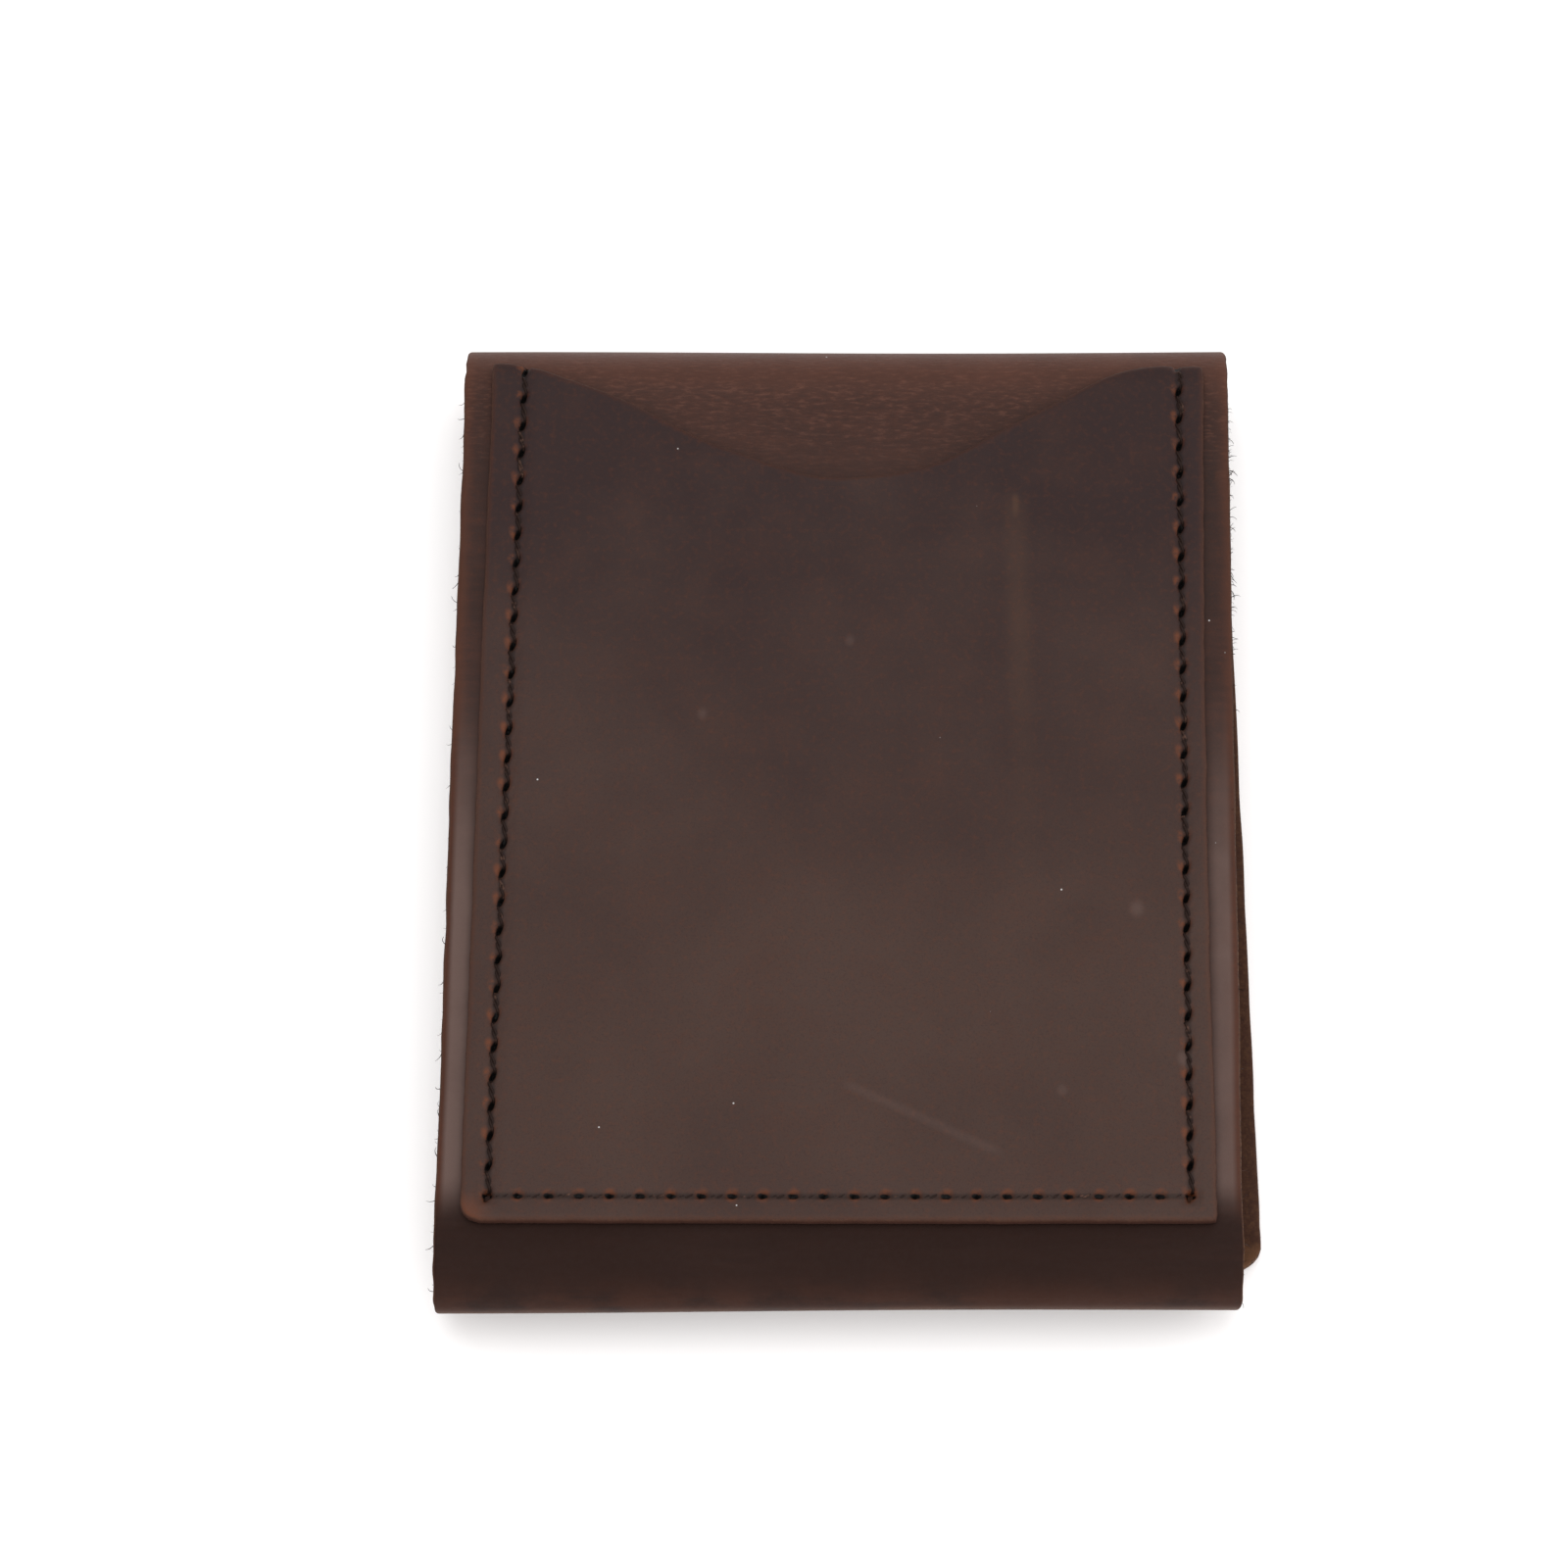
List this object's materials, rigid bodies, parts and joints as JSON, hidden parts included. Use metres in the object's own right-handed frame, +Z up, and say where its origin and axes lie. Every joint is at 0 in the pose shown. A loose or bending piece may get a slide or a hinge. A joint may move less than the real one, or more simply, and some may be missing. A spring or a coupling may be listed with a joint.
{
  "type": "business card case",
  "caption": "Flat leather card case with a long fold-over flap, gusseted sides and a scooped outer pocket sewn to its back.",
  "frame": {"origin": "middle of the case's width and length on the outer face of the closed flap, on which the case lies", "axes": "+Z up, away from the flap, through the outer pocket; +Y along the case, from the bottom fold to the crease of the flap; +X across the case, to the right"},
  "size_m": [0.0802, 0.1035, 0.0141],
  "materials": {
    "shell_leather": "waxed pull-up leather, rust brown where it bends",
    "pocket_leather": "waxed pull-up leather, dark chocolate",
    "gusset_leather": "thin waxed leather",
    "thread": "waxed thread, near black",
    "magnet": "nickel plated disc"
  },
  "bodies": {
    "case": {"shell_case": "shell_leather", "outer_pocket": "pocket_leather", "pocket_needle_thread": "thread", "pocket_bobbin_thread": "thread", "gusset_left": "gusset_leather", "gusset_right": "gusset_leather", "front_thread_left": "thread", "front_thread_right": "thread", "front_magnet": "magnet", "front_magnet_cover": "gusset_leather"},
    "crease": {"shell_crease": "shell_leather"},
    "flap": {"shell_flap": "shell_leather", "flap_magnet": "magnet", "flap_magnet_cover": "gusset_leather"}
  },
  "joints": [
    {"name": "crease_bend", "type": "hinge", "parent": "case", "child": "crease", "pos_m": [-0.00006, 0.04967, 0.01067], "axis": [0.9999, 0.0131, 0], "range_deg": [0, 90]},
    {"name": "flap_bend", "type": "hinge", "parent": "crease", "child": "flap", "pos_m": [-0.00006, 0.04967, 0.00183], "axis": [0.9999, 0.0131, 0], "range_deg": [0, 90]}
  ],
  "couplings": [
    {"joint": "flap_bend", "follows": "crease_bend", "ratio": 1}
  ]
}
